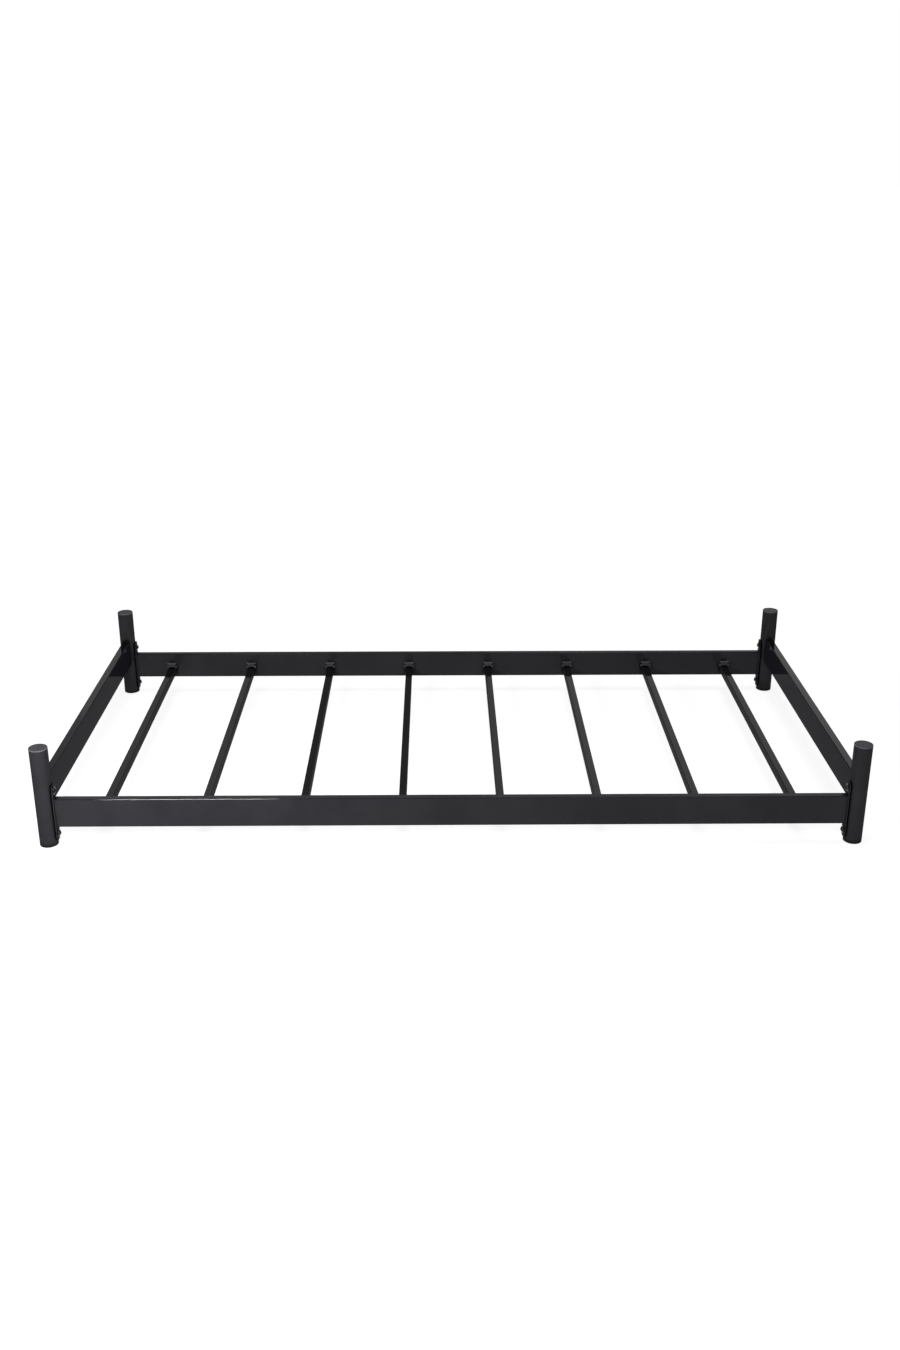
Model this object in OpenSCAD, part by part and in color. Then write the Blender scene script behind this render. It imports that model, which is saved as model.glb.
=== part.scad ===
// Single bed frame in round and rectangular steel tube.
// Two end frames, each of two round posts with an end rail welded between them, are joined by two side
// rails. Each side rail ends in a flat plate that bolts to its round post. Slats of box tube lie between
// the side rails in moulded holders, which snap into the rails' inner faces.
//
// Millimetres. The origin is on the floor at the middle of the frame, +X runs along the bed from the
// head to the foot, +Y to the sleeper's left, and +Z up.

/* [Frame] */
// Length between the post axes
post_pitch_x = 1950; // [1400:10:2300]
// Width between the post axes
post_pitch_y = 970; // [700:10:1600]
// Height of the frame over the floor, post caps included
frame_h = 256.5; // [230:0.5:500]
// Clearance between pieces that are welded, bolted or pressed together
seat_gap = 0.2; // [0.1:0.05:0.5]

/* [Posts] */
// Outside diameter of a post tube
post_d = 44.5; // [40:0.5:60]
// Wall of a post tube
post_wall = 1.5; // [1:0.1:3]

/* [Post caps and glides] */
// Height of a cap's rim over the tube's top end
cap_rim_h = 3; // [2:0.5:8]
// Radius of the cap's upper edge
cap_edge_r = 1.2; // [0.5:0.1:1.8]
// Height of a glide's rim under the tube's lower end
glide_rim_h = 4; // [3:0.5:8]
// Radius of the glide's lower edge
glide_edge_r = 1.2; // [0.5:0.1:2.5]
// Length of the plug inside the tube
plug_len = 12; // [8:1:15]
// Wall of the hollow plug
plug_wall = 2; // [1.5:0.1:3]
// Number of sealing ribs round the plug
plug_rib_count = 3; // [1:1:4]
// Width of a sealing rib along the plug
plug_rib_w = 1.2; // [0.8:0.1:1.6]
// How far a rib stands out of the plug
plug_rib_out = 1; // [0.5:0.1:1.5]

/* [Rails] */
// Height of the rail tube's section
rail_h = 73.5; // [60:0.5:100]
// Thickness of the rail tube's section
rail_t = 20; // [16:1:28]
// Wall of a rail tube
rail_wall = 1.5; // [1:0.1:1.9]
// Outer corner radius of a rail tube
rail_corner_r = 2; // [2:0.1:5]
// Height of the side rails' underside over the floor
rail_z = 50; // [45:0.5:70]
// Height of the end rails' underside over the side rails' underside
end_rail_rise = 46; // [0:0.5:60]

/* [End plates] */
// Thickness of an end plate
plate_t = 2.5; // [2:0.5:4]
// How far the plate stands out past the side rail on each side
plate_lip = 2.5; // [1:0.5:4]
// Distance from a bolt's axis to the plate's end
plate_end = 18; // [12:1:24]
// Corner radius of the plate's outline
plate_corner_r = 11; // [3:1:11]
// Clearance between an insert's flange and the plate's hole round it
plate_hole_gap = 0.5; // [0.2:0.1:1]

/* [Bolts] */
// Distance from the side rail's edge to a bolt's axis
bolt_offset = 20; // [18:0.5:24]
// Diameter of a bolt's shank
bolt_d = 8; // [6:1:8]
// Length of a bolt under its head
bolt_len = 25; // [20:1:35]
// Diameter of a bolt's button head
bolt_head_d = 14; // [13:0.5:17]
// Height of a bolt's button head
bolt_head_h = 4.9; // [3:0.1:5]
// Width of the hexagon socket across its flats
bolt_socket_w = 5; // [4:0.5:6]
// Depth of the hexagon socket
bolt_socket_depth = 2.6; // [1:0.1:2.8]
// Diameter of a washer
washer_d = 20; // [18:0.5:22]
// Thickness of a washer
washer_t = 1.6; // [1:0.1:3]

/* [Threaded inserts] */
// Outside diameter of an insert's body
insert_d = 11; // [10:0.5:12]
// Length of an insert from its flange to its inner end
insert_len = 16; // [14:1:18]
// Diameter of an insert's flange
insert_flange_d = 13; // [12:0.5:15]
// Thickness of an insert's flange
insert_flange_t = 0.8; // [0.5:0.1:1.5]
// Diameter of the bulge that locks the insert behind the post's wall
insert_bulge_d = 14.4; // [13:0.2:15]
// Length of the bulge
insert_bulge_len = 5; // [4:0.5:6]

/* [Slats] */
// Number of slats
slat_count = 8; // [4:1:12]
// Distance from a post's axis to the first slat's axis
slat_end_gap = 133; // [80:1:200]
// Width of a slat's section
slat_w = 18.5; // [16:0.5:30]
// Height of a slat's section
slat_h = 24; // [18:0.5:30]
// Wall of a slat
slat_wall = 1.2; // [1:0.1:1.4]
// Outer corner radius of a slat
slat_corner_r = 1.5; // [1.5:0.1:4]
// Height of the slats' underside over the side rails' underside
slat_rise = 10.5; // [8:0.5:20]

/* [Slat holders] */
// Distance from the rail's face to the front of a holder's hood
holder_len = 18; // [14:1:30]
// Thickness of the back plate on the rail's face
back_t = 4; // [3:0.5:5]
// Height of the back plate's top edge over the slat
back_over = 9; // [8:0.5:9]
// Height of the back plate's lower edge over the slat's underside
back_inset = 1; // [0:0.5:2]
// Corner radius of the back plate
back_corner_r = 3; // [1.5:0.5:5]
// Thickness of the hood, the neck and the bar at the holder's front
hood_t = 5; // [4:0.5:6]
// Clearance between the slat's sides and the hood's feet
hood_side_gap = 1.2; // [0.3:0.1:1.5]
// Room over the slat under the hood
hood_headroom = 3; // [2:0.5:3]
// Height of the hood over its opening
hood_crown = 4; // [3.6:0.1:5]
// How far the hood's feet reach down beside the slat
hood_drop = 1; // [1:0.5:4]
// Width of each of the hood's feet
hood_foot_w = 4.8; // [4:0.1:6]
// Corner radius of the hood
hood_corner_r = 3.2; // [2:0.1:3.2]
// Radius of the opening's upper corners
hood_opening_r = 1.5; // [0.5:0.1:2]
// Width of the neck between the hood and the bar
neck_w = 19.5; // [14:0.5:20]
// Height of the neck
neck_h = 4.5; // [3:0.1:6]
// Width of the bar on the neck
bar_w = 28; // [22:0.5:34]
// Height of the bar
bar_h = 4.3; // [3.5:0.1:6]
// Corner radius of the bar
bar_corner_r = 1.4; // [1.2:0.1:1.7]
// Width of the chamfer on the front edges of the hood and the bar
holder_chamfer = 0.8; // [0.3:0.1:1]
// Width of the web that joins the hood to the back plate
web_w = 13; // [8:0.5:14]
// Length of the tongue inside the slat
tongue_len = 25; // [15:1:40]
// Wall of the hollow tongue
tongue_wall = 2.5; // [1.5:0.5:4]
// Diameter of a holder's snap pegs
peg_d = 8; // [6:0.5:10]
// Length of a snap peg behind the back plate
peg_len = 7; // [6:0.5:9]
// How far the peg's barb stands out behind the rail's wall
peg_barb = 0.6; // [0.3:0.1:1]
// Width of the slit that lets a peg spring
peg_slit = 1.6; // [1:0.1:2.5]
// Distance from the back plate's upper or lower edge to a peg's axis
peg_edge = 8; // [7:0.5:8]

/* [Hidden] */
$fn = 64;
// Oversize of a cutting shape past the face that it cuts
over = 1;

// Signs along X and Y
head = -1;
foot = 1;
left = 1;
right = -1;

post_r = post_d / 2;
post_bore_r = post_r - post_wall;
plug_r = post_bore_r - seat_gap - plug_rib_out;

plate_w = rail_t + 2 * plate_lip;
rail_mid_z = rail_z + rail_h / 2;
bolt_pitch = rail_h + 2 * bolt_offset;
bolt_heights = [rail_mid_z - bolt_pitch / 2, rail_mid_z + bolt_pitch / 2];
plate_len = bolt_pitch + 2 * plate_end;
plate_hole_r = insert_flange_d / 2 + plate_hole_gap;

// Distances from the post's axis along a bolt
plate_seat_x = post_r + seat_gap;
plate_face_x = plate_seat_x + plate_t;
washer_seat_x = plate_face_x + seat_gap;
washer_face_x = washer_seat_x + washer_t;
bolt_dome_r = (pow(bolt_head_d / 2, 2) + pow(bolt_head_h, 2)) / (2 * bolt_head_h);

slat_z = rail_z + slat_rise + slat_h / 2;
slat_pitch = (post_pitch_x - 2 * slat_end_gap) / (slat_count - 1);
rail_face_y = (post_pitch_y - rail_t) / 2;
slat_len = 2 * (rail_face_y - back_t - seat_gap);

// Heights in a holder, over the slat's axis
slat_top = slat_h / 2;
hood_bottom = slat_top - hood_drop;
opening_top = slat_top + hood_headroom;
hood_top = opening_top + hood_crown;
bar_bottom = hood_top + neck_h;
back_bottom = back_inset - slat_top;
back_top = slat_top + back_over;

opening_w = slat_w + 2 * hood_side_gap;
hood_w = opening_w + 2 * hood_foot_w;
hood_back = holder_len - hood_t;
tongue_w = slat_w - 2 * slat_wall - 2 * seat_gap;
tongue_h = slat_h - 2 * slat_wall - 2 * seat_gap;
peg_r = peg_d / 2;
peg_hole_r = peg_r + seat_gap;
peg_heights = [back_bottom + peg_edge, back_top - peg_edge];

ENDS = [["head", head], ["foot", foot]];
SIDES = [["left", left], ["right", right]];
SLATS = [1:slat_count];

function slat_x(i) = -post_pitch_x / 2 + slat_end_gap + (i - 1) * slat_pitch;

// ---- Placing ----

// Puts its children on a post's axis, with their +X towards the middle of the bed
module at_corner(end, side) {
    translate([end * post_pitch_x / 2, side * post_pitch_y / 2, 0])
        rotate([0, 0, end == head ? 0 : 180])
            children();
}

// Puts its children on every bolt's axis, with their +X pointing out of the post
module at_bolts() {
    for (e = ENDS, s = SIDES, z = bolt_heights)
        at_corner(e[1], s[1]) translate([0, 0, z]) children();
}

// ---- Shapes ----

// A rectangle about the origin with round corners
module rounded_rect(w, h, r) {
    square([w - 2 * r, h], center = true);
    square([w, h - 2 * r], center = true);
    for (x = [-1, 1], y = [-1, 1])
        translate([x * (w / 2 - r), y * (h / 2 - r)]) circle(r);
}

// A straight tube of rounded rectangular section, w along Y and h along Z, that runs along X
module box_tube(length, w, h, wall, r) {
    rotate([90, 0, 90])
        difference() {
            linear_extrude(length, center = true) rounded_rect(w, h, r);
            linear_extrude(length + 2 * over, center = true)
                rounded_rect(w - 2 * wall, h - 2 * wall, r - wall);
        }
}

// A rounded plate that stands on the XZ plane and grows along +Y, with its front edge chamfered by c
module chamfered_plate(w, h, t, r, c) {
    rotate([-90, 0, 0]) {
        for (x = [-1, 1], y = [-1, 1])
            translate([x * (w / 2 - r), y * (h / 2 - r)])
                rotate_extrude() polygon([[0, 0], [r, 0], [r, t - c], [r - c, t], [0, t]]);
        rotate([90, 0, 90])
            linear_extrude(w - 2 * r, center = true) chamfered_section(h, t, c);
        rotate([90, 0, 0])
            linear_extrude(h - 2 * r, center = true) chamfered_section(w, t, c);
    }
}

// A plate's section: width w, with the front edges cut back by c on both sides
module chamfered_section(w, t, c) {
    polygon([[-w / 2, 0], [w / 2, 0], [w / 2, t - c], [w / 2 - c, t], [c - w / 2, t], [-w / 2, t - c]]);
}

// A plastic plug with a round-edged rim over z = 0 and a ribbed hollow stem under it
module tube_plug(rim_h, edge_r) {
    rib_pitch = plug_len / (plug_rib_count + 1);
    rotate_extrude() {
        square([post_r, rim_h - edge_r]);
        square([post_r - edge_r, rim_h]);
        translate([post_r - edge_r, rim_h - edge_r]) circle(edge_r);
        translate([plug_r - plug_wall, -plug_len]) square([plug_wall, plug_len]);
        for (i = [1:plug_rib_count])
            translate([plug_r - plug_wall / 2, -i * rib_pitch - plug_rib_w / 2])
                square([plug_wall / 2 + plug_rib_out, plug_rib_w]);
    }
}

// ---- End frames ----

// A round post, drilled on one side for the two inserts
module post(end, side) {
    color("dimgray") at_corner(end, side)
        difference() {
            translate([0, 0, glide_rim_h])
                cylinder(h = frame_h - cap_rim_h - glide_rim_h, r = post_r);
            translate([0, 0, glide_rim_h - over])
                cylinder(h = frame_h - cap_rim_h - glide_rim_h + 2 * over, r = post_bore_r);
            for (z = bolt_heights)
                translate([0, 0, z]) rotate([0, 90, 0])
                    cylinder(h = post_d, r = insert_d / 2 + seat_gap);
        }
}

// The cap that closes a post's top end
module cap(end, side) {
    color("#3c3c3e") at_corner(end, side)
        translate([0, 0, frame_h - cap_rim_h]) tube_plug(cap_rim_h, cap_edge_r);
}

// The glide that closes a post's lower end and stands on the floor
module glide(end, side) {
    color("#2c2c2e") at_corner(end, side)
        translate([0, 0, glide_rim_h]) mirror([0, 0, 1]) tube_plug(glide_rim_h, glide_edge_r);
}

// The end rail, coped at both ends to fit round the posts that it is welded to
module end_rail(end) {
    color("dimgray") translate([end * post_pitch_x / 2, 0, rail_mid_z + end_rail_rise])
        difference() {
            rotate([0, 0, 90]) box_tube(post_pitch_y, rail_t, rail_h, rail_wall, rail_corner_r);
            for (s = SIDES)
                translate([0, s[1] * post_pitch_y / 2, 0])
                    cylinder(h = rail_h + 2 * over, r = post_r + seat_gap, center = true);
        }
}

// ---- Side rails ----

// A side rail between its two end plates, with the slat holders' peg holes in its inner wall
module side_rail(side) {
    color("dimgray") difference() {
        translate([0, side * post_pitch_y / 2, rail_mid_z])
            box_tube(post_pitch_x - 2 * (plate_face_x + seat_gap), rail_t, rail_h, rail_wall, rail_corner_r);
        for (i = SLATS, z = peg_heights)
            translate([slat_x(i), side * rail_face_y, slat_z + z]) rotate([90, 0, 0])
                cylinder(h = 2 * (rail_wall + over), r = peg_hole_r, center = true);
    }
}

// The plate on a side rail's end, which stands on the post's crest and carries the two bolts
module end_plate(end, side) {
    color("dimgray") at_corner(end, side)
        translate([plate_seat_x, 0, rail_mid_z]) rotate([90, 0, 90]) linear_extrude(plate_t)
            difference() {
                rounded_rect(plate_w, plate_len, plate_corner_r);
                for (z = [-1, 1] * bolt_pitch / 2)
                    translate([0, z]) circle(plate_hole_r);
            }
}

// ---- Fasteners, each kind as one group ----

// Button-head bolts, one over and one under the side rail at each corner
module rail_bolts() {
    color("#1c1c1e") at_bolts() rotate([0, 90, 0]) difference() {
        union() {
            translate([0, 0, washer_face_x - bolt_len]) cylinder(h = bolt_len, r = bolt_d / 2);
            intersection() {
                translate([0, 0, washer_face_x + bolt_head_h - bolt_dome_r]) sphere(bolt_dome_r);
                translate([0, 0, washer_face_x])
                    cylinder(h = bolt_head_h + over, r = bolt_head_d / 2 + over);
            }
        }
        translate([0, 0, washer_face_x + bolt_head_h - bolt_socket_depth])
            cylinder(h = bolt_socket_depth + over, d = bolt_socket_w / cos(30), $fn = 6);
    }
}

// Flat washers under the bolts' heads
module washers() {
    color("#1c1c1e") at_bolts() translate([washer_seat_x, 0, 0]) rotate([0, 90, 0])
        linear_extrude(washer_t) difference() {
            circle(washer_d / 2);
            circle(bolt_d / 2 + seat_gap);
        }
}

// Rivet nuts that are set in the post's wall and take the bolts
module threaded_inserts() {
    color("silver") at_bolts() difference() {
        union() {
            translate([post_r - insert_len, 0, 0]) rotate([0, 90, 0])
                cylinder(h = insert_len + seat_gap, r = insert_d / 2);
            intersection() {
                translate([post_bore_r - insert_bulge_len, 0, 0]) rotate([0, 90, 0])
                    cylinder(h = insert_bulge_len, r = insert_bulge_d / 2);
                cylinder(h = insert_bulge_d + over, r = post_bore_r - seat_gap, center = true);
            }
            intersection() {
                rotate([0, 90, 0]) cylinder(h = post_d, r = insert_flange_d / 2);
                difference() {
                    cylinder(h = insert_flange_d + over, r = plate_seat_x + insert_flange_t, center = true);
                    cylinder(h = insert_flange_d + 2 * over, r = plate_seat_x, center = true);
                }
            }
        }
        translate([post_r - insert_len - over, 0, 0]) rotate([0, 90, 0])
            cylinder(h = post_d, r = bolt_d / 2 + seat_gap / 2);
    }
}

// ---- Slats ----

// A slat, a straight tube between two holders' back plates
module slat(i) {
    color("#3a3a3c") translate([slat_x(i), 0, slat_z]) rotate([0, 0, 90])
        box_tube(slat_len, slat_w, slat_h, slat_wall, slat_corner_r);
}

// A holder, with its pegs in the rail and its tongue in the slat
module slat_holder(side, i) {
    color("#4a4a4c")
        translate([slat_x(i), side * rail_face_y, slat_z]) rotate([0, 0, side == left ? 180 : 0]) {
            holder_body();
            for (z = peg_heights)
                translate([0, 0, z]) snap_peg();
        }
}

// The holder without its pegs: +Y points from the rail's face along the slat, z = 0 is the slat's axis
module holder_body() {
    translate([0, 0, (back_bottom + back_top) / 2]) rotate([-90, 0, 0])
        linear_extrude(back_t) rounded_rect(slat_w, back_top - back_bottom, back_corner_r);
    translate([-web_w / 2, back_t - over / 2, opening_top])
        cube([web_w, hood_back - back_t + over, back_top - opening_top]);
    translate([0, hood_back, 0]) holder_front();
    tongue();
}

// The holder's front: a hood over the slat, a narrower neck on it and a bar across the top
module holder_front() {
    difference() {
        translate([0, 0, (hood_bottom + hood_top) / 2])
            chamfered_plate(hood_w, hood_top - hood_bottom, hood_t, hood_corner_r, holder_chamfer);
        translate([0, -over, opening_top - slat_h / 2]) rotate([-90, 0, 0])
            linear_extrude(hood_t + 2 * over) rounded_rect(opening_w, slat_h, hood_opening_r);
    }
    translate([-neck_w / 2, 0, hood_top - holder_chamfer - over / 2])
        cube([neck_w, hood_t - holder_chamfer, neck_h + 2 * holder_chamfer + over]);
    translate([0, 0, bar_bottom + bar_h / 2])
        chamfered_plate(bar_w, bar_h, hood_t, bar_corner_r, holder_chamfer);
}

// The hollow tongue that fills the slat's bore, open at its free end
module tongue() {
    translate([0, back_t - over / 2, 0]) rotate([-90, 0, 0])
        difference() {
            linear_extrude(tongue_len + over / 2)
                rounded_rect(tongue_w, tongue_h, slat_corner_r - slat_wall);
            translate([0, 0, over / 2 + tongue_wall]) linear_extrude(tongue_len)
                square([tongue_w - 2 * tongue_wall, tongue_h - 2 * tongue_wall], center = true);
        }
}

// A split peg with a barb that springs open behind the rail's wall
module snap_peg() {
    wall_y = rail_wall + seat_gap;
    barb_r = peg_hole_r + peg_barb;
    barb_y = wall_y + peg_barb;
    tip_r = peg_r - peg_barb;
    difference() {
        rotate([90, 0, 0]) rotate_extrude()
            polygon([
                [0, -over / 2], [peg_r, -over / 2], [peg_r, wall_y],
                [barb_r, barb_y], [tip_r, peg_len], [0, peg_len]
            ]);
        translate([-peg_slit / 2, -peg_len - over, -peg_d])
            cube([peg_slit, peg_len - rail_wall + over, 2 * peg_d]);
    }
}

// ---- The frame ----

for (e = ENDS, s = SIDES) {
    post(e[1], s[1]);
    cap(e[1], s[1]);
    glide(e[1], s[1]);
    end_plate(e[1], s[1]);
}
for (e = ENDS) end_rail(e[1]);
for (s = SIDES) side_rail(s[1]);
for (i = SLATS) slat(i);
for (s = SIDES, i = SLATS)
    slat_holder(s[1], i);
rail_bolts();
washers();
threaded_inserts();
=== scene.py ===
"""Looks of a low single bed frame in black powder-coated steel tube.

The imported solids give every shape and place. This script gives each of them its finish, adds the weld
beads of the end frames and side rails, and sets up a plain studio round the frame. Lengths are in metres
in the frame's own axes: +X from head to foot, +Y to the sleeper's left, +Z up, floor at 0.
"""

import logging
import math
from dataclasses import dataclass, replace
from enum import Enum
from typing import Any, Iterable

import bmesh
import bpy
from mathutils import Matrix, Vector


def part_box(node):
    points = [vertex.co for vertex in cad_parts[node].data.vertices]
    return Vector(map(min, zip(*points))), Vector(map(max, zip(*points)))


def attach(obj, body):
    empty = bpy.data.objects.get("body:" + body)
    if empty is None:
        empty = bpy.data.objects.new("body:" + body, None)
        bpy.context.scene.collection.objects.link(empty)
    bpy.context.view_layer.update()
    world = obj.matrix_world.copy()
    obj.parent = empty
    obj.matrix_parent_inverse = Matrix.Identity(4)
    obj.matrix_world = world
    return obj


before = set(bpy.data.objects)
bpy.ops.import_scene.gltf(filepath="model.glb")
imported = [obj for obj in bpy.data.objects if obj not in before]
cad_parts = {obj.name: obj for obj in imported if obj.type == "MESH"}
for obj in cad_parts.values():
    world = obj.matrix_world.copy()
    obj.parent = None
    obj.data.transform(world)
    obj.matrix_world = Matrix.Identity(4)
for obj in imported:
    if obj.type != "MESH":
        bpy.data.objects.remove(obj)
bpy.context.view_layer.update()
LOG = logging.getLogger("bed_frame")
MM = 0.001
BODY = "root"

MERGE_DISTANCE = 0.001 * MM
# Numbers of the Mix node's two colour inputs and of its colour output.
MIX_A, MIX_B, MIX_RESULT = 6, 7, 2

Colour = tuple[float, float, float, float]
Place = tuple[float, float, float]
Range = tuple[float, float]
Links = dict[str | int, Any]


class End(Enum):
    """The two ends of the bed, with their sign along X."""

    HEAD = -1
    FOOT = 1


class Side(Enum):
    """The two long sides of the bed, with their sign along Y."""

    LEFT = 1
    RIGHT = -1


# ---- Colour and nodes ----


def linear(code: str) -> Colour:
    """Turns an sRGB hex colour into linear RGBA.

    Args:
        code: The colour as "#rrggbb".

    Returns:
        Red, green, blue and alpha, with alpha 1.
    """
    parts = [int(code[i : i + 2], 16) / 255 for i in (1, 3, 5)]
    lin = [c / 12.92 if c <= 0.04045 else ((c + 0.055) / 1.055) ** 2.4 for c in parts]
    return (lin[0], lin[1], lin[2], 1.0)


def grey(value: float) -> Colour:
    """A linear grey as RGBA."""
    return (value, value, value, 1.0)


WHITE = grey(1.0)


def add(
    tree: bpy.types.NodeTree, kind: str, links: Links | None = None, **settings: Any
) -> bpy.types.Node:
    """Adds a node with its settings, and sets or links its inputs.

    Args:
        tree: The node tree that gets the node.
        kind: Blender's type name of the node, without "ShaderNode".
        links: Input name or number to a value, or to the output socket that feeds it.
        **settings: Properties of the node itself.

    Returns:
        The new node.
    """
    made = tree.nodes.new("ShaderNode" + kind)
    for name, value in settings.items():
        setattr(made, name, value)
    for name, value in (links or {}).items():
        if isinstance(value, bpy.types.NodeSocket):
            tree.links.new(value, made.inputs[name])
        else:
            made.inputs[name].default_value = value
    return made


def empty_material(name: str) -> tuple[bpy.types.Material, bpy.types.NodeTree]:
    """Makes a node material without nodes.

    Args:
        name: The material's name.

    Returns:
        The material and its empty node tree.
    """
    material = bpy.data.materials.new(name)
    material.use_nodes = True
    material.node_tree.nodes.clear()
    return material, material.node_tree


# ---- Finishes ----


# Noise values that count as a dark cloud and as a light one.
CLOUD_RANGE: Range = (0.35, 0.65)
CLOUD_DETAIL = 3.0
SKIN_DETAIL = 2.0
# The largest part of a face's normal along one axis: in a tight corner, and on a flat side of a tube. The
# painted shade of tight corners fades out between them.
FLAT_RANGE: Range = (0.85, 0.995)
# The upward part of a face's normal: on an upright side, and on a level top. The painted light of upright
# sides fades out between them.
LEVEL_RANGE: Range = (0.60, 0.95)
GAP_SAMPLES = 8


@dataclass(frozen=True)
class Finish:
    """What all finishes share: a cloudy colour, a fine uneven skin and painted shade in narrow gaps.

    Attributes:
        name: The material's name.
        dark: Colour of the dark clouds, as sRGB hex.
        light: Colour of the light clouds.
        roughness: Roughness of the dark clouds and of the light ones.
        skin_mm: Width of one bump of the skin.
        skin_depth_mm: Height of one bump.
        cloud_mm: Width of one cloud.
        metallic: 1 for plated metal, 0 for powder and plastic.
        specular: Shine of the body itself. Powder and plastic have none, as their gloss gives all of it.
        gloss: Strength of the clear skin over the colour.
        gloss_roughness: Roughness of that skin.
        gloss_ior: Its index of refraction.
        painted_gap_shade_mm: Distance at which a facing wall starts to add painted shade to a gap.
        painted_gap_shade_power: How steeply that painted shade deepens.
        painted_edge_shade: Factor on the colour in tight corners, a painted shade where it is below 1.
        painted_side_light: Factor on the colour of upright sides, a painted light where it is above 1.
    """

    name: str
    dark: str
    light: str
    roughness: Range
    skin_mm: float
    skin_depth_mm: float
    cloud_mm: float = 90.0
    metallic: float = 0.0
    specular: float = 0.0
    gloss: float = 0.0
    gloss_roughness: float = 0.06
    gloss_ior: float = 1.9
    painted_gap_shade_mm: float = 12.0
    painted_gap_shade_power: float = 2.0
    painted_edge_shade: float = 1.0
    painted_side_light: float = 1.0

    def shade(self, tree: bpy.types.NodeTree, coordinates: bpy.types.Node) -> bpy.types.NodeSocket:
        """Adds painted shade in narrow gaps and in tight corners, and painted light on upright sides.

        Args:
            tree: The material's node tree.
            coordinates: Its Texture Coordinate node.

        Returns:
            A factor on the colour, 1 on open level faces.
        """
        # Painted shade in narrow gaps, from ambient occlusion.
        open_sky = add(tree, "AmbientOcclusion", {"Distance": self.painted_gap_shade_mm * MM}, samples=GAP_SAMPLES)
        gap = add(tree, "Math", {0: open_sky.outputs["AO"], 1: self.painted_gap_shade_power}, operation="POWER")
        facing = add(tree, "VectorMath", {0: coordinates.outputs["Normal"]}, operation="ABSOLUTE")
        axes = add(tree, "SeparateXYZ", {0: facing.outputs[0]}).outputs
        side = add(tree, "Math", {0: axes["X"], 1: axes["Y"]}, operation="MAXIMUM")
        flat = add(tree, "Math", {0: side.outputs[0], 1: axes["Z"]}, operation="MAXIMUM")
        # Painted shade on the tubes' tight corners.
        corner = add(tree, "MapRange", {
            "Value": flat.outputs[0], "From Min": FLAT_RANGE[0], "From Max": FLAT_RANGE[1],
            "To Min": self.painted_edge_shade, "To Max": 1.0,
        })
        # Painted light on upright sides.
        level = add(tree, "MapRange", {
            "Value": axes["Z"], "From Min": LEVEL_RANGE[0], "From Max": LEVEL_RANGE[1],
            "To Min": self.painted_side_light, "To Max": 1.0,
        })
        both = add(tree, "Math", {0: corner.outputs[0], 1: level.outputs[0]}, operation="MULTIPLY")
        tone = add(tree, "Math", {0: gap.outputs[0], 1: both.outputs[0]}, operation="MULTIPLY")
        return tone.outputs[0]

    def build(self) -> bpy.types.Material:
        """Makes the material.

        Returns:
            The node material, on Object coordinates.
        """
        material, tree = empty_material(self.name)
        coordinates = add(tree, "TexCoord")
        place = coordinates.outputs["Object"]
        cloud = add(tree, "TexNoise", {
            "Vector": place, "Scale": 1 / (self.cloud_mm * MM), "Detail": CLOUD_DETAIL,
        })
        patch = add(tree, "MapRange", {
            "Value": cloud.outputs["Fac"], "From Min": CLOUD_RANGE[0], "From Max": CLOUD_RANGE[1],
        })
        colour = add(tree, "Mix", {
            0: patch.outputs[0], MIX_A: linear(self.dark), MIX_B: linear(self.light),
        }, data_type="RGBA")
        shaded = add(tree, "VectorMath", {
            0: colour.outputs[MIX_RESULT], "Scale": self.shade(tree, coordinates),
        }, operation="SCALE")
        rough = add(tree, "MapRange", {
            "Value": patch.outputs[0], "To Min": self.roughness[0], "To Max": self.roughness[1],
        })
        skin = add(tree, "TexNoise", {
            "Vector": place, "Scale": 1 / (self.skin_mm * MM), "Detail": SKIN_DETAIL,
        })
        bump = add(tree, "Bump", {"Height": skin.outputs["Fac"], "Distance": self.skin_depth_mm * MM})
        normal = bump.outputs["Normal"]
        shader = add(tree, "BsdfPrincipled", {
            "Base Color": shaded.outputs[0], "Roughness": rough.outputs[0], "Metallic": self.metallic,
            "Specular IOR Level": self.specular, "Normal": normal, "Coat Weight": self.gloss,
            "Coat Roughness": self.gloss_roughness, "Coat IOR": self.gloss_ior, "Coat Normal": normal,
        })
        add(tree, "OutputMaterial", {"Surface": shader.outputs["BSDF"]})
        return material


# Polyester powder, baked on round steel tube: black with a weak, crisp gloss and a slight orange peel. Real
# peel is about 1 mm across and is drawn coarser, so that it still breaks up reflections from some way off.
# Its painted shade in narrow gaps is steeper than the default.
POST_COAT = Finish(
    "powder_coat_post", dark="#2f2e32", light="#343337", roughness=(0.55, 0.62),
    skin_mm=2.4, skin_depth_mm=0.004, gloss=0.055, painted_gap_shade_power=3.0,
)
# The same powder on flat tube, with painted shade on its tight corners.
RAIL_COAT = replace(POST_COAT, name="powder_coat_rail", painted_edge_shade=0.15)
# The same powder on the end rails, in a darker colour as painted shade, with upright sides painted lighter
# as painted light. Their inner faces are seen at a slant and look black with a clear shine, because they
# mirror the floor and the side rail beside them.
END_COAT = replace(
    RAIL_COAT, name="powder_coat_end_rail", dark="#141418", light="#16161a", roughness=(0.50, 0.58),
    gloss=0.070, painted_side_light=2.9,
)
# The same powder on the thin slats, which look blacker because they mostly mirror what is behind them:
# painted in as a darker colour, a painted shade. Their tight corners get painted shade, and their upright
# sides painted light that stands in for the mirrored white floor.
SLAT_COAT = Finish(
    "powder_coat_slat", dark="#171719", light="#1b1b1d", roughness=(0.50, 0.58),
    skin_mm=2.0, skin_depth_mm=0.004, gloss=0.05, painted_edge_shade=0.15, painted_side_light=3.5,
)
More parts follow.
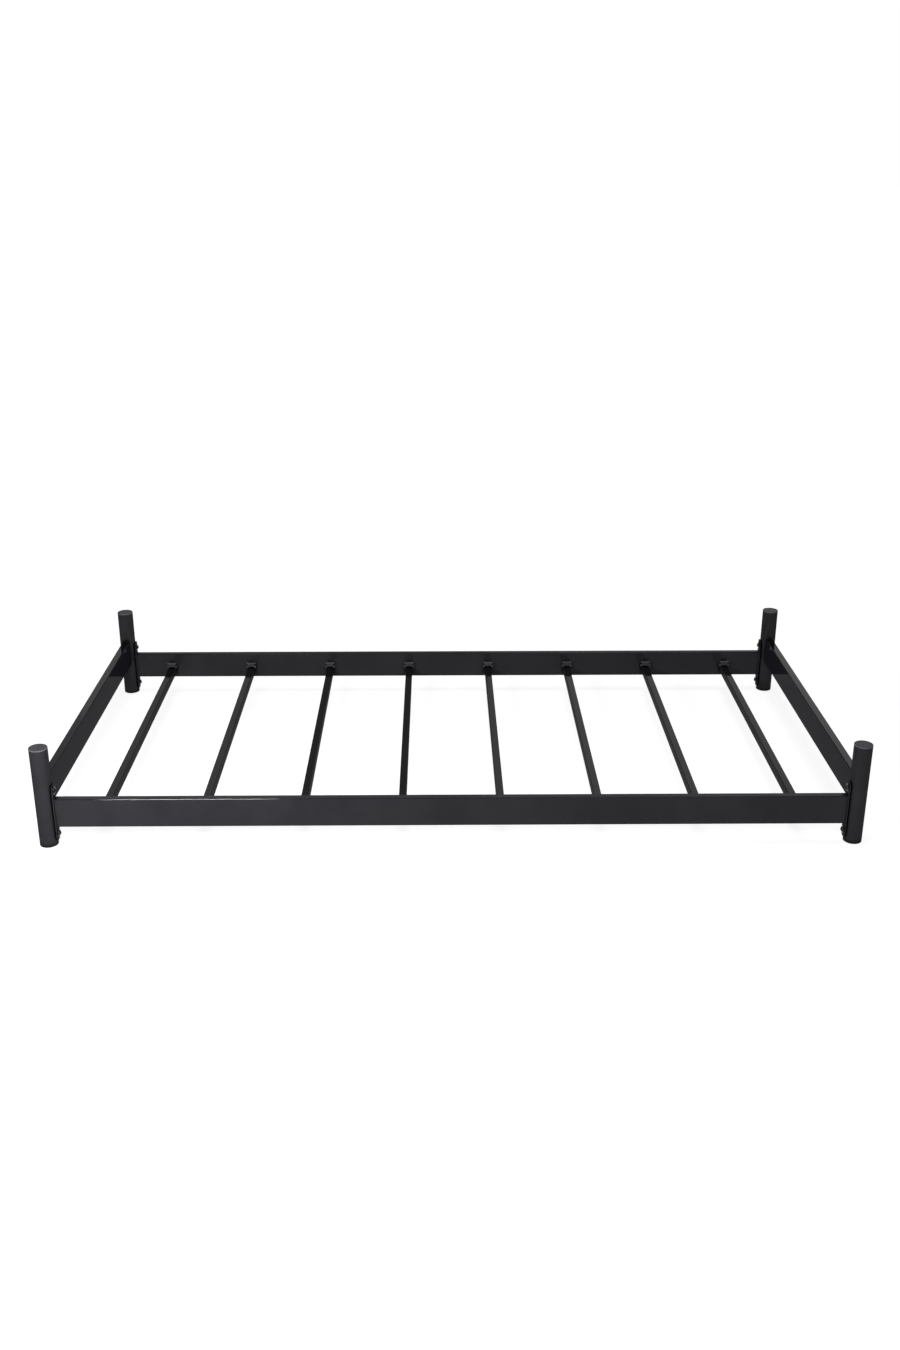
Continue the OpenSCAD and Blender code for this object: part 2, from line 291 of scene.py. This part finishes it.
# Black zinc plate on the bolts and washers: a dark metal with a small, sharp shine. Its fine skin is drawn
# coarser than in life.
# Its painted shade in narrow gaps reaches only a short way and deepens steeply.
BLACK_ZINC = Finish(
    "black_zinc_plate", dark="#2e2e31", light="#363639", roughness=(0.30, 0.38),
    skin_mm=0.8, skin_depth_mm=0.004, cloud_mm=12.0, metallic=1.0, specular=0.5, painted_gap_shade_mm=4.0, painted_gap_shade_power=3.0,
)
# Bright zinc plate on the inserts inside the posts: a pale metal with a soft shine, its skin as coarse.
BRIGHT_ZINC = Finish(
    "bright_zinc_plate", dark="#a9abab", light="#bcbfc0", roughness=(0.25, 0.40),
    skin_mm=0.9, skin_depth_mm=0.01, cloud_mm=12.0, metallic=1.0, specular=0.5,
)
# Injection-moulded polypropylene with an eroded grain: satin black caps, duller glides. The grain is about
# 0.1 mm in life and is drawn coarser to show. The upright sides of both are painted lighter: painted light,
# which on the caps stands in for the highlight on their rims.
CAP_PLASTIC = Finish(
    "polypropylene_cap", dark="#424246", light="#48484c", roughness=(0.46, 0.50),
    skin_mm=0.9, skin_depth_mm=0.01, cloud_mm=14.0, gloss=0.08, gloss_roughness=0.3, gloss_ior=1.5,
    painted_side_light=2.5,
)
GLIDE_PLASTIC = replace(
    CAP_PLASTIC, name="polypropylene_glide", dark="#222224", light="#28282a", roughness=(0.50, 0.55),
    painted_side_light=3.0,
)
# Moulded nylon slat holders: a touch greyer than the steel, with a satin skin, drawn as coarse as the caps'.
HOLDER_NYLON = Finish(
    "nylon_holder", dark="#4e4e52", light="#57575b", roughness=(0.48, 0.52),
    skin_mm=0.8, skin_depth_mm=0.01, cloud_mm=14.0, gloss=0.10, gloss_roughness=0.3, gloss_ior=1.5,
)


# ---- Pieces ----


def middle(node: str) -> Vector:
    """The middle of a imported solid's box."""
    low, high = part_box(node)
    return (low + high) / 2


def size(node: str) -> Vector:
    """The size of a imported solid's box."""
    low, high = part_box(node)
    return high - low


def dress(nodes: Iterable[str], material: bpy.types.Material) -> None:
    """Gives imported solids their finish, and reports each.

    Args:
        nodes: Names of the solids.
        material: The finish.
    """
    for name in nodes:
        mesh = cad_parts[name].data
        mesh.materials.clear()
        mesh.materials.append(material)
        LOG.info("%s: %s", name, material.name)


@dataclass
class WeldBead:
    """A fillet weld that runs once round the end of a rail, where it meets a plate or a post.

    Attributes:
        name: The piece's name.
        centre: The middle of the rail's section, in the plate's face or on the post's axis.
        along: Direction from there into the rail.
        rail_height: Height of the rail's section.
        rail_thickness: Its thickness.
        leg: Thickness of the bead.
        face_radius: Radius of the post, or 0 for a flat plate.
        corner_radius: Radius of the section's corners.
        ripple_pitch: Length of one ripple along the bead.
        ripple_share: Height of a ripple as a share of the bead.
        steps_per_ripple: Points of the path on each ripple.
        bevel_resolution: Fineness of the bead's round section.
    """

    name: str
    centre: Vector
    along: Vector
    rail_height: float
    rail_thickness: float
    leg: float
    face_radius: float = 0.0
    corner_radius: float = 2.0 * MM
    ripple_pitch: float = 2.4 * MM
    ripple_share: float = 0.10
    steps_per_ripple: int = 3
    bevel_resolution: int = 3

    def outline(self) -> list[tuple[float, float]]:
        """Walks once round the rail's section.

        Returns:
            Points as (across, up), about a third of a ripple apart.
        """
        half_w = self.rail_thickness / 2 - self.corner_radius
        half_h = self.rail_height / 2 - self.corner_radius
        step = self.ripple_pitch / self.steps_per_ripple
        arc_steps = math.ceil(self.corner_radius * math.pi / 2 / step)
        corners: list[tuple[float, float]] = []
        for right, up, start in ((1, -1, -90), (1, 1, 0), (-1, 1, 90), (-1, -1, 180)):
            for i in range(arc_steps + 1):
                turn = math.radians(start + 90 * i / arc_steps)
                corners.append((
                    right * half_w + self.corner_radius * math.cos(turn),
                    up * half_h + self.corner_radius * math.sin(turn),
                ))
        path: list[tuple[float, float]] = []
        for a, b in zip(corners, corners[1:] + corners[:1]):
            count = max(1, round(math.dist(a, b) / step))
            for i in range(count):
                share = i / count
                path.append((a[0] + (b[0] - a[0]) * share, a[1] + (b[1] - a[1]) * share))
        return path

    def sweep(self) -> bpy.types.Mesh:
        """Sweeps the bead's round section along the outline.

        Returns:
            The swept mesh, in place.
        """
        across = Vector((0, 0, 1)).cross(self.along)
        curve = bpy.data.curves.new(self.name, "CURVE")
        curve.dimensions = "3D"
        curve.bevel_depth = self.leg / 2
        curve.bevel_resolution = self.bevel_resolution
        path = self.outline()
        spline = curve.splines.new("POLY")
        spline.points.add(len(path) - 1)
        spline.use_cyclic_u = True
        for i, (w, h) in enumerate(path):
            reach = math.sqrt(self.face_radius**2 - w**2) if self.face_radius else 0.0
            place = self.centre + self.along * reach + across * w + Vector((0, 0, h))
            phase = 2 * math.pi * i / self.steps_per_ripple
            spline.points[i].co = (*place, 1.0)
            spline.points[i].radius = 1.0 + self.ripple_share * math.cos(phase)
        carrier = bpy.data.objects.new(self.name, curve)
        bpy.context.scene.collection.objects.link(carrier)
        bpy.context.view_layer.update()
        swept = carrier.evaluated_get(bpy.context.evaluated_depsgraph_get())
        mesh = bpy.data.meshes.new_from_object(swept)
        bpy.data.objects.remove(carrier)
        bpy.data.curves.remove(curve)
        return mesh

    def lay(self, material: bpy.types.Material) -> bpy.types.Object:
        """Makes the bead a closed, smooth piece of the frame.

        Args:
            material: The powder coat that covers it.

        Returns:
            The piece, at the origin.
        """
        mesh = self.sweep()
        bm = bmesh.new()
        bm.from_mesh(mesh)
        bmesh.ops.remove_doubles(bm, verts=bm.verts, dist=MERGE_DISTANCE)
        bmesh.ops.recalc_face_normals(bm, faces=bm.faces)
        for face in bm.faces:
            face.smooth = True
        bm.to_mesh(mesh)
        bm.free()
        mesh.name = self.name
        mesh.materials.clear()
        mesh.materials.append(material)
        bead = bpy.data.objects.new(self.name, mesh)
        bpy.context.scene.collection.objects.link(bead)
        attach(bead, BODY)
        LOG.info("%s: %d faces", self.name, len(mesh.polygons))
        return bead


# ---- Sub-assemblies ----


@dataclass
class EndFrame:
    """Two posts with their caps and glides, and the end rail that is welded between them.

    Attributes:
        end: Which end of the bed it stands at.
        post: Finish of the posts and of the weld beads.
        rail: Finish of the end rail.
        cap: Finish of the caps.
        glide: Finish of the glides.
        weld_leg: Thickness of the weld beads.
    """

    end: End
    post: bpy.types.Material
    rail: bpy.types.Material
    cap: bpy.types.Material
    glide: bpy.types.Material
    weld_leg: float = 2.0 * MM

    def names(self, kind: str) -> list[str]:
        """Names of one kind of piece at this end, one for each side."""
        return [f"{kind}_{self.end.name.lower()}_{side.name.lower()}" for side in Side]

    def dress(self) -> None:
        """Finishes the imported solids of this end."""
        dress(self.names("post"), self.post)
        dress([f"end_rail_{self.end.name.lower()}"], self.rail)
        dress(self.names("cap"), self.cap)
        dress(self.names("glide"), self.glide)

    def build(self) -> None:
        """Lays the weld beads between the end rail and its posts."""
        rail = f"end_rail_{self.end.name.lower()}"
        for side, post, bead in zip(Side, self.names("post"), self.names("weld")):
            axis = middle(post)
            WeldBead(
                name=bead,
                centre=Vector((axis.x, axis.y, middle(rail).z)),
                along=Vector((0, -side.value, 0)),
                rail_height=size(rail).z,
                rail_thickness=size(rail).x,
                face_radius=size(post).x / 2,
                leg=self.weld_leg,
            ).lay(self.post)


@dataclass
class SideRail:
    """A side rail with the end plate that is welded to each of its ends.

    Attributes:
        side: Which side of the bed it runs along.
        rail: Finish of the rail and of the end plates.
        bead: Finish of the weld beads.
        weld_leg: Thickness of the weld beads.
    """

    side: Side
    rail: bpy.types.Material
    bead: bpy.types.Material
    weld_leg: float = 2.0 * MM

    def plates(self) -> dict[End, str]:
        """Names of the rail's two end plates."""
        return {end: f"end_plate_{end.name.lower()}_{self.side.name.lower()}" for end in End}

    def dress(self) -> None:
        """Finishes the rail and its end plates."""
        dress([f"side_rail_{self.side.name.lower()}", *self.plates().values()], self.rail)

    def build(self) -> None:
        """Lays the weld beads between the rail's ends and the end plates."""
        rail = f"side_rail_{self.side.name.lower()}"
        for end, plate in self.plates().items():
            low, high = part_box(plate)
            WeldBead(
                name=f"weld_{plate}",
                centre=Vector((high.x if end is End.HEAD else low.x, middle(rail).y, middle(rail).z)),
                along=Vector((-end.value, 0, 0)),
                rail_height=size(rail).z,
                rail_thickness=size(rail).y,
                leg=self.weld_leg,
            ).lay(self.bead)


@dataclass
class SlatRow:
    """The cross slats and their moulded holders.

    Attributes:
        slat: Finish of the slats.
        holder: Finish of the holders.
    """

    slat: bpy.types.Material
    holder: bpy.types.Material

    def dress(self) -> None:
        """Finishes slats and holders."""
        holders = [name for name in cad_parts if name.startswith("slat_holder_")]
        slats = [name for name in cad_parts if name.startswith("slat_") and name not in holders]
        dress(slats, self.slat)
        dress(holders, self.holder)


@dataclass
class Hardware:
    """The bolts and washers on the end plates, and the threaded inserts behind them.

    Attributes:
        black: Finish of the bolts and washers.
        bright: Finish of the inserts.
    """

    black: bpy.types.Material
    bright: bpy.types.Material

    def dress(self) -> None:
        """Finishes the fasteners."""
        dress(["rail_bolts", "washers"], self.black)
        dress(["threaded_inserts"], self.bright)


# ---- Studio ----


@dataclass(frozen=True)
class Lamp:
    """A soft rectangular lamp.

    Attributes:
        name: What it is for.
        at: Place of its middle.
        aim: Place that it faces.
        wide: Width of its light.
        high: Height of its light.
        watts: Power.
        matt: Whether it lights matt surfaces too. Without that it only shows as a shine in glossy ones.
        beam: Full angle of its light. A narrow one keeps its shine off the faces beside its aim.
    """

    name: str
    at: Place
    aim: Place
    wide: float
    high: float
    watts: float
    matt: bool = True
    beam: float = math.pi

    def hang(self) -> None:
        """Puts the lamp into the scene, out of the camera's sight."""
        data = bpy.data.lights.new(self.name, "AREA")
        data.shape = "RECTANGLE"
        data.size = self.wide
        data.size_y = self.high
        data.energy = self.watts
        data.spread = self.beam
        lamp = bpy.data.objects.new(self.name, data)
        lamp.location = self.at
        lamp.rotation_euler = (Vector(self.aim) - Vector(self.at)).to_track_quat("-Z", "Y").to_euler()
        lamp.visible_camera = False
        lamp.visible_diffuse = self.matt
        bpy.context.scene.collection.objects.link(lamp)


EDGE_BEAM = math.radians(30)
REAR_Y = 3.4
REAR_Z = 1.66
REAR_HIGH = 0.82


def rear_lamp(name: str, x: float, wide: float, watts: float) -> Lamp:
    """Makes a lamp beyond the left side rail, which puts a sheen on tops that are seen from the right side.

    Args:
        name: Its name.
        x: Place of its middle along the bed.
        wide: Width of its light.
        watts: Power.

    Returns:
        The lamp, level and facing the bed squarely.
    """
    return Lamp(name, (x, REAR_Y, REAR_Z), (x, 0.0, REAR_Z), wide, REAR_HIGH, watts, matt=False)


LAMPS = (
    # The level of the whole frame.
    Lamp("overhead", at=(0.0, 0.2, 5.0), aim=(0.0, 0.0, 0.1), wide=2.2, high=1.6, watts=60),
    # A lighter head end on the right side rail, and a weaker light on the rest of it.
    Lamp("key", at=(-0.85, -1.40, 0.88), aim=(-0.8, -0.49, 0.1), wide=0.45, high=0.40, watts=16),
    Lamp("fill", at=(0.75, -1.8, 1.05), aim=(0.8, -0.49, 0.1), wide=0.7, high=0.5, watts=7),
    # The sides that face left, away from the camera.
    Lamp("far", at=(1.35, 3.0, 1.4), aim=(0.4, 0.0, 0.1), wide=1.6, high=0.9, watts=4),
    # The thin bright line on the right side rail's rounded upper edge.
    Lamp("edge", at=(-0.85, -1.25, 1.10), aim=(-0.62, -0.49, 0.12), wide=0.55, high=0.40, watts=9,
         matt=False, beam=EDGE_BEAM),
    # The sheen on the tops of the slats and end rails. slat_3 and slat_4 lie between them and stay black.
    rear_lamp("rear_head", x=-1.445, wide=1.05, watts=7.2),
    rear_lamp("rear_corner", x=-2.09, wide=0.24, watts=0.87),
    rear_lamp("rear_foot", x=1.33, wide=2.2, watts=17.1),
)


@dataclass(frozen=True)
class Studio:
    """A white floor, a white surround, soft lamps and the camera.

    Attributes:
        camera_at: Place of the camera, in front of the right side rail.
        pitch_down: How far it looks down.
        yaw_right: How far it looks towards the foot.
        lens_mm: Focal length.
        sensor_mm: Width of the picture on the sensor.
        clip: Nearest and farthest distance that it sees.
        floor_half: Half the floor's width.
        floor_drop: How far the floor lies under the feet.
        floor_tone: Grey of the floor under the lamps, which carries the shadow.
        floor_lift: Glow that is added to it, near the frame and far away, to make it white.
        lift_reach: Distances from the middle between which the glow rises.
        sky: Strength of the even light from all round.
        lamps: The lamps.
    """

    camera_at: Place = (-0.03246, -3.40638, 1.60516)
    pitch_down: float = math.radians(21.807)
    yaw_right: float = math.radians(0.549)
    lens_mm: float = 36.309
    sensor_mm: float = 36.0
    clip: Range = (0.05, 200.0)
    floor_half: float = 40.0
    floor_drop: float = 0.2 * MM
    floor_tone: float = 0.40
    floor_lift: Range = (0.80, 1.0)
    lift_reach: Range = (1.3, 3.5)
    sky: float = 0.24
    lamps: tuple[Lamp, ...] = LAMPS

    def shown(self, tree: bpy.types.NodeTree) -> bpy.types.NodeSocket:
        """Adds a switch that is 1 for camera, mirror and glass rays.

        Args:
            tree: The node tree.

        Returns:
            The switch's output.
        """
        path = add(tree, "LightPath").outputs
        seen = add(tree, "Math", {0: path["Is Camera Ray"], 1: path["Is Glossy Ray"]}, operation="MAXIMUM")
        both = add(tree, "Math", {0: seen.outputs[0], 1: path["Is Transmission Ray"]}, operation="MAXIMUM")
        return both.outputs[0]

    def floor(self) -> None:
        """Lays a white floor that keeps the frame's soft shadow."""
        bm = bmesh.new()
        drop = Matrix.Translation((0, 0, -self.floor_drop))
        bmesh.ops.create_grid(bm, x_segments=1, y_segments=1, size=self.floor_half, matrix=drop)
        mesh = bpy.data.meshes.new("floor")
        bm.to_mesh(mesh)
        bm.free()
        floor = bpy.data.objects.new("floor", mesh)
        bpy.context.scene.collection.objects.link(floor)
        material, tree = empty_material("floor_white")
        place = add(tree, "TexCoord").outputs["Object"]
        away = add(tree, "VectorMath", {0: place}, operation="LENGTH").outputs["Value"]
        lift = add(tree, "MapRange", {
            "Value": away, "From Min": self.lift_reach[0], "From Max": self.lift_reach[1],
            "To Min": self.floor_lift[0], "To Max": self.floor_lift[1],
        })
        level = add(tree, "Math", {0: self.shown(tree), 1: lift.outputs[0]}, operation="MULTIPLY")
        glow = add(tree, "Emission", {"Color": WHITE, "Strength": level.outputs[0]})
        matt = add(tree, "BsdfDiffuse", {"Color": grey(self.floor_tone)})
        both = add(tree, "AddShader", {0: glow.outputs[0], 1: matt.outputs[0]})
        add(tree, "OutputMaterial", {"Surface": both.outputs[0]})
        mesh.materials.append(material)
        LOG.info("floor laid")

    def surround(self) -> None:
        """Sets a surround that is white to look at and mirrored as white, and gives a dim, even light."""
        world = bpy.data.worlds.new("studio")
        bpy.context.scene.world = world
        world.use_nodes = True
        tree = world.node_tree
        tree.nodes.clear()
        level = add(tree, "MapRange", {"Value": self.shown(tree), "To Min": self.sky, "To Max": 1.0})
        glow = add(tree, "Background", {"Color": WHITE, "Strength": level.outputs[0]})
        add(tree, "OutputWorld", {"Surface": glow.outputs[0]})

    def camera(self) -> None:
        """Sets the camera, and a plain view transform."""
        data = bpy.data.cameras.new("camera")
        data.lens = self.lens_mm
        data.sensor_width = self.sensor_mm
        data.clip_start, data.clip_end = self.clip
        camera = bpy.data.objects.new("camera", data)
        camera.location = self.camera_at
        camera.rotation_euler = (math.pi / 2 - self.pitch_down, 0, -self.yaw_right)
        bpy.context.scene.collection.objects.link(camera)
        bpy.context.scene.camera = camera
        bpy.context.scene.view_settings.view_transform = "Standard"

    def build(self) -> None:
        """Builds the whole studio."""
        self.floor()
        self.surround()
        for lamp in self.lamps:
            lamp.hang()
        self.camera()
        LOG.info("studio set with %d lamps", len(self.lamps))


def main() -> None:
    """Builds the frame's looks, sub-assembly by sub-assembly."""
    logging.basicConfig(level=logging.INFO, format="%(name)s: %(message)s")
    post, rail = POST_COAT.build(), RAIL_COAT.build()
    cap, glide = CAP_PLASTIC.build(), GLIDE_PLASTIC.build()
    end_rail = END_COAT.build()
    for end in End:
        end_frame = EndFrame(end, post, end_rail, cap, glide)
        end_frame.dress()
        end_frame.build()
    for side in Side:
        side_rail = SideRail(side, rail, bead=post)
        side_rail.dress()
        side_rail.build()
    SlatRow(SLAT_COAT.build(), HOLDER_NYLON.build()).dress()
    Hardware(BLACK_ZINC.build(), BRIGHT_ZINC.build()).dress()
    Studio().build()


if __name__ == "__main__":
    main()
